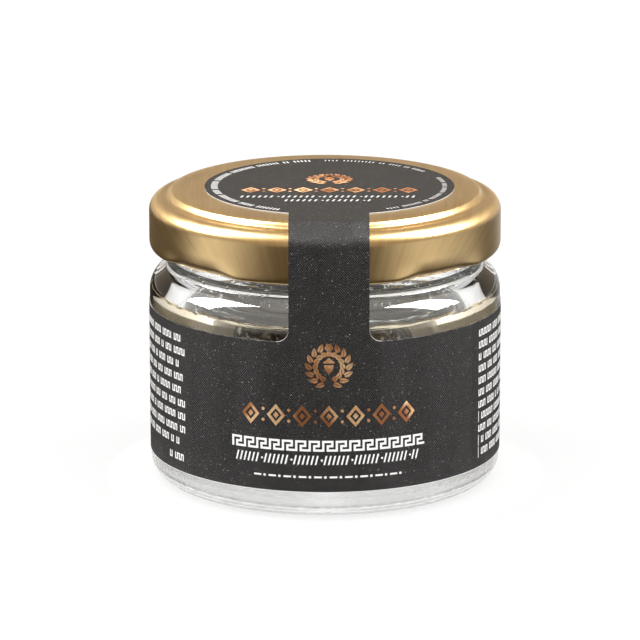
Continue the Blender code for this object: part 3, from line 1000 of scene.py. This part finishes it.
def bandArt(shape, white):
    a = art
    draw = random.Random(a["seed"])
    if not white:
        wreath(shape, a["middle"], a["wreathUp"])
        lozengeRow(shape, a["middle"], a["lozengeUp"], a["lozenges"], a["lozengeStep"])
        return
    keyRow(shape, a["middle"], a["keyUp"], a["keyWidth"], a["keyCell"])
    slantRow(shape, a["middle"], a["slantUp"], a["slantWidth"], 1.35, 0.62, 0.24)
    dashRow(shape, a["middle"], a["dashUp"], a["dashWidth"])
    for row in range(a["leftRows"]):
        up = a["leftTop"] - row * a["leftStep"]
        strokeRow(shape, draw, a["leftEdge"] - a["panelWidth"], up, a["panelWidth"])
    strokeRow(shape, draw, a["leftEdge"] - 4.4, a["leftTop"] - 17.7, 4.4)
    for row in range(a["rightRows"]):
        inset = 0.9 if row in (7, 9, 10) else 0.0
        up = a["rightTop"] - row * a["rightStep"]
        strokeRow(shape, draw, a["rightEdge"] + inset, up, a["panelWidth"] - inset)
        if inset:
            bar(shape, a["rightEdge"], up - 0.8, a["rightEdge"] + 0.14, up + 0.8)


def discArt(shape, white):
    a = art
    middle = label["discX"]
    if not white:
        wreath(shape, middle, a["discWreath"])
        lozengeRow(shape, middle, a["discLozenge"], a["lozenges"], 3.8, 1.05)
        return
    slantRow(shape, middle, a["discKey"], 25.5, 1.1, 0.85, 0.3)
    slantRow(shape, middle, a["discSlant"], 13.5, 1.1, 0.85, 0.3)
    draw = random.Random(a["seed"] + 1)
    for first, last, tall in ((-116, -262, 1.15), (-268, -330, 0.8), (-342, -424, 0.8)):
        length = math.radians(first - last) * a["ringRadius"]
        for start, end in strokeWords(draw, int(length / a["ringPitch"]), a["ringPitch"]):
            for index in range(round((end - start) / a["ringPitch"])):
                turn = math.radians(first) - (start + index * a["ringPitch"]) / a["ringRadius"]
                half = a["ringStroke"] / 2 * tall
                ends = []
                for side, radius in ((-1, -half), (1, -half), (1, half), (-1, half)):
                    angle = turn - side * 0.12 * tall / a["ringRadius"]
                    spot = around(a["ringRadius"] + radius, 0, angle)
                    ends.append((middle + spot.x, spot.y))
                patch(shape, ends[::-1] if ends[0][0] * ends[1][1] < ends[1][0] * ends[0][1] else ends)


def printed(name, finish, white):
    film = bmesh.new()
    for draw, place in ((bandArt, onBand), (discArt, onDisc)):
        shape = bmesh.new()
        draw(shape, white)
        bmesh.ops.triangulate(shape, faces=shape.faces)
        cuts = int(max(abs(vert.co.x) for vert in shape.verts) / art["bendStep"])
        for step in range(-cuts, cuts + 1):
            everything = shape.verts[:] + shape.edges[:] + shape.faces[:]
            cut = (step * art["bendStep"], 0, 0)
            bmesh.ops.bisect_plane(shape, geom=everything, plane_co=cut, plane_no=(1, 0, 0))
        bmesh.ops.recalc_face_normals(shape, faces=shape.faces)
        for face in shape.faces:
            if face.normal.z < 0:
                face.normal_flip()
        top, foot = (
            {vert: film.verts.new(place(vert.co.x, vert.co.y, off)) for vert in shape.verts}
            for off in (art["lift"] + art["film"], art["lift"])
        )
        for face in shape.faces:
            film.faces.new([top[vert] for vert in face.verts])
            film.faces.new([foot[vert] for vert in reversed(face.verts)])
        for edge in shape.edges:
            if len(edge.link_loops) == 1:
                first = edge.link_loops[0].vert
                second = edge.other_vert(first)
                film.faces.new((foot[first], foot[second], top[second], top[first]))
        shape.free()
    settle(newPiece(name, film, finish, sharpDegrees=30), "label_paper")


def onBand(u, v, off):
    radius = bandRadius + off
    return Vector((radius * math.sin(u / bandRadius), -radius * math.cos(u / bandRadius), v)) * mm


def onDisc(u, v, off):
    return Vector((u, v, discHeight + off)) * mm


def foilFinish():
    finish = Finish("copper foil", {"Metallic": 0.85, "IOR": 1.5})
    # the dark and pale copper patches, set at random, are painted shade and painted sheen that stand in for
    # the foil's reflections
    wide = finish.grain(190, 2.0)
    fine = finish.grain(2400, 3.0, 0.7)
    tone = finish.blend(wide.above(0.5, 0.12), art["copperPaintedShade"], art["copper"])
    tone = finish.blend((wide * 0.7 + fine * 0.5).above(0.68, 0.1), tone, art["copperPaintedSheen"])
    finish.set({"Base Color": tone, "Roughness": 0.42 + fine * 0.2})
    finish.bump(fine, 0.02 * mm, 0.5)
    return finish.material


def inkFinish():
    finish = Finish("white ink", {"IOR": 1.5})
    grain = finish.grain(3000, 3.0)
    colour = finish.blend(grain * 0.4, art["white"], (0.7, 0.69, 0.67))
    finish.set({"Base Color": colour, "Roughness": 0.45 + grain * 0.2})
    finish.bump(grain, 0.01 * mm, 0.4)
    return finish.material


def makeArt():
    printed("copper_print", foilFinish(), False)
    printed("white_print", inkFinish(), True)
    print("printed art made")


# Floor, cards and lamps, in millimetres, with azimuths in degrees to the right of the camera's side
studio = {
    "floor": (0.15, 0.15, 0.15), "floorGlow": 0.80, "world": 1.0, "far": 1400, "near": 60,
    "frontCard": (-62, 54, 30), "leftCard": (-179, -84, 16), "rightCard": (70, 179, 60), "ring": (32, 60),
    "dark": (0.07, 0.05, 0.035), "domeRadius": 2400,
    "domeLow": (0.50, 0.41, 0.31), "domeHigh": (0.86, 0.75, 0.62),
}


def makeCard(name, start, end, soft, near, far):  # a dark sector of the table, seen only in reflections
    shape = bmesh.new()
    layer = shape.loops.layers.uv.new("turn")
    steps = max(4, round((end - start) / 3))
    rows = []
    for step in range(steps + 1):
        degrees = start + (end - start) * step / steps
        turn = math.radians(degrees - 90)
        rows.append([degrees] + [shape.verts.new(around(radius, 0.4, turn) * mm) for radius in (near, far)])
    for (before, nearBefore, farBefore), (after, nearAfter, farAfter) in zip(rows, rows[1:]):
        face = shape.faces.new((nearBefore, farBefore, farAfter, nearAfter))
        for loop, degrees in zip(face.loops, (before, before, after, after)):
            loop[layer].uv = (degrees, 0)
    finish = Finish(name, {"Base Color": (0, 0, 0, 1), "Roughness": 1.0, "Specular IOR Level": 0.0})
    degrees, _, _ = finish.place("UV")
    inside = degrees.above(start + soft / 2, soft / 2) * (1 - degrees.above(end - soft / 2, soft / 2))
    finish.set({"Emission Color": finish.blend(inside, (1, 1, 1), studio["dark"]), "Emission Strength": 1.0})
    reflectedOnly(newPiece(name, shape, finish.material))


def reflectedOnly(card):
    for way in ("camera", "diffuse", "shadow", "transmission"):
        setattr(card, "visible_" + way, False)


def makeDome():  # what shiny surfaces mirror above the table: dim and warm low down, brighter overhead
    radius = studio["domeRadius"]
    shape = turned([(0, 0)] + arc((0, 0), (radius, radius), 1, 89, 24) + [(0, radius)], 48)
    bmesh.ops.delete(shape, geom=[vert for vert in shape.verts if vert.co.length < mm], context="VERTS")
    finish = Finish("dome", {"Base Color": (0, 0, 0, 1), "Roughness": 1.0, "Specular IOR Level": 0.0})
    _, _, z = finish.place()
    high = (z / (radius * mm)).above(0.68, 0.3)
    glow = finish.blend(high, studio["domeLow"], studio["domeHigh"])
    finish.set({"Emission Color": glow, "Emission Strength": 1.0})
    reflectedOnly(newPiece("dome", shape, finish.material))


def makeLamp(name, azimuth, elevation, distance, width, height, brightness):
    lamp = bpy.data.lights.new(name, "AREA")
    lamp.shape = "RECTANGLE"
    lamp.size = width * mm
    lamp.size_y = height * mm
    lamp.energy = brightness * lamp.size * lamp.size_y * 4
    obj = bpy.data.objects.new(name, lamp)
    scene.collection.objects.link(obj)
    turn = math.radians(azimuth)
    rise = math.radians(elevation)
    away = Vector((math.sin(turn) * math.cos(rise), -math.cos(turn) * math.cos(rise), math.sin(rise)))
    obj.location = Vector((0, 0, 25 * mm)) + away * distance * mm
    obj.rotation_euler = away.to_track_quat("Z", "Y").to_euler()
    return obj


def makeStage():
    shape = bmesh.new()
    bmesh.ops.create_grid(shape, x_segments=1, y_segments=1, size=3)
    finish = Finish("white floor", {"Base Color": (*studio["floor"], 1), "Roughness": 0.6})
    finish.set({"Emission Color": (1, 1, 1, 1), "Emission Strength": studio["floorGlow"]})
    newPiece("floor", shape, finish.material)
    for name in ("frontCard", "leftCard", "rightCard"):
        makeCard(name, *studio[name], studio["near"], studio["far"])
    makeCard("ring", -181, 181, 0.5, *studio["ring"])
    makeDome()
    world = bpy.data.worlds.new("studio")
    world.use_nodes = True
    world.node_tree.nodes["Background"].inputs["Color"].default_value = (1, 1, 1, 1)
    world.node_tree.nodes["Background"].inputs["Strength"].default_value = studio["world"]
    scene.world = world
    sideBoxes = {"elevation": 42, "distance": 700, "width": 300, "height": 560, "brightness": 24.0}
    makeLamp("left box", azimuth=-95, **sideBoxes).visible_diffuse = False
    makeLamp("right box", azimuth=90, **sideBoxes).visible_diffuse = False
    overhead = {"elevation": 66, "distance": 800, "width": 900, "height": 600, "brightness": 1.6}
    makeLamp("top box", azimuth=0, **overhead).visible_glossy = False
    scene.view_settings.view_transform = "Standard"
    scene.cycles.max_bounces = 24
    scene.cycles.transmission_bounces = 24
    scene.cycles.glossy_bounces = 8
    print("stage made")


makeCamera()
makeGlass()
makeLid()
makeSeal()
makeLabel()
makeArt()
makeTruffle()
makeJuice()
makeDrops()
makeStage()
